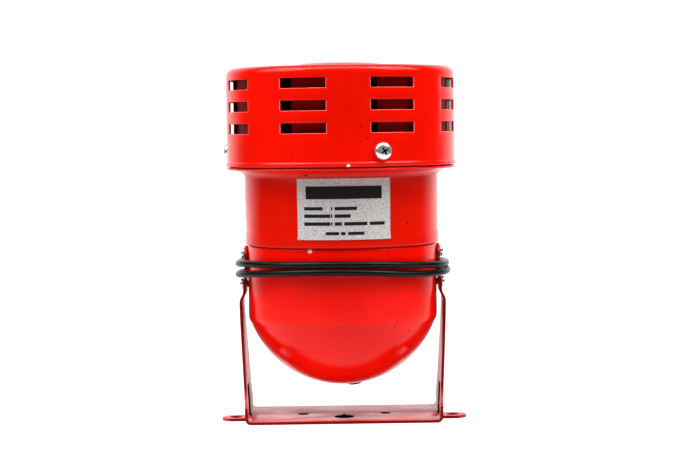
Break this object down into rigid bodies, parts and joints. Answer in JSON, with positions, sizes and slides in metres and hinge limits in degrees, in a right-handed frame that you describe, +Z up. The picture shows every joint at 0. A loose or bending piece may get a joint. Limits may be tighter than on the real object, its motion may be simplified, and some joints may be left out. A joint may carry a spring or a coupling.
{
  "type": "alarm siren",
  "caption": "Small mains motor siren: slotted drum over a necked housing and domed can, screwed to a U bracket with two lugs, its cord wrapped round it",
  "frame": {"origin": "on the siren's axis, on the underside of the bracket's base", "axes": "+Z up along the rotor's axis, -Y the front with the rating label, the bracket's arms on +X and -X"},
  "size_m": [0.0926, 0.087, 0.1344],
  "materials": {
    "gloss_red": "gloss red enamel with a slight orange peel",
    "bracket_red": "gloss red enamel on folded sheet",
    "rotor_red": "thin red paint",
    "chrome_screws": "bright plated",
    "label_silver": "brushed silver foil",
    "black_rubber": "satin black",
    "bright_steel": "machined",
    "zinc_plate": "zinc plated sheet",
    "copper": "enamelled copper wire",
    "commutator_brass": "polished",
    "bronze": "sintered bronze",
    "carbon": "matt carbon",
    "bakelite": "moulded brown",
    "wire_brown": "brown insulation",
    "wire_blue": "blue insulation",
    "laminations": "varnished laminations"
  },
  "bodies": {
    "housing": {"slotted_drum": "gloss_red", "drum_screw_1": "chrome_screws", "drum_screw_2": "chrome_screws", "drum_screw_3": "chrome_screws", "upper_housing": "gloss_red", "rating_label": "label_silver", "lower_can": "gloss_red", "bracket": "bracket_red", "bracket_screw_right_low": "chrome_screws", "bracket_screw_right_high": "chrome_screws", "bracket_screw_left_low": "chrome_screws", "bracket_screw_left_high": "chrome_screws", "cable_grommet": "black_rubber", "power_cord": "black_rubber", "cord_wire_live": "wire_brown", "cord_wire_neutral": "wire_blue", "motor_plate": "zinc_plate", "lower_bearing_carrier": "zinc_plate", "upper_bearing_carrier": "zinc_plate", "lower_bush": "bronze", "upper_bush": "bronze", "through_bolt_right": "bright_steel", "through_bolt_left": "bright_steel", "bolt_nut_right": "bright_steel", "bolt_nut_left": "bright_steel", "field_core": "laminations", "field_coil_front": "copper", "field_coil_back": "copper", "brush_holder_right": "bakelite", "brush_holder_left": "bakelite", "brush_right": "carbon", "brush_left": "carbon", "brush_spring_right": "bright_steel", "brush_spring_left": "bright_steel", "motor_lead_live": "wire_brown", "motor_lead_neutral": "wire_blue"},
    "rotor": {"siren_rotor": "rotor_red", "rotor_washer": "bright_steel", "rotor_nut": "bright_steel", "motor_shaft": "bright_steel", "armature_core": "laminations", "armature_winding_lower": "copper", "armature_winding_upper": "copper", "commutator": "commutator_brass"}
  },
  "joints": [
    {"name": "rotor_spin", "type": "hinge", "parent": "housing", "child": "rotor", "pos_m": [0, 0, 0.08], "axis": [0, 0, 1], "continuous": true}
  ]
}
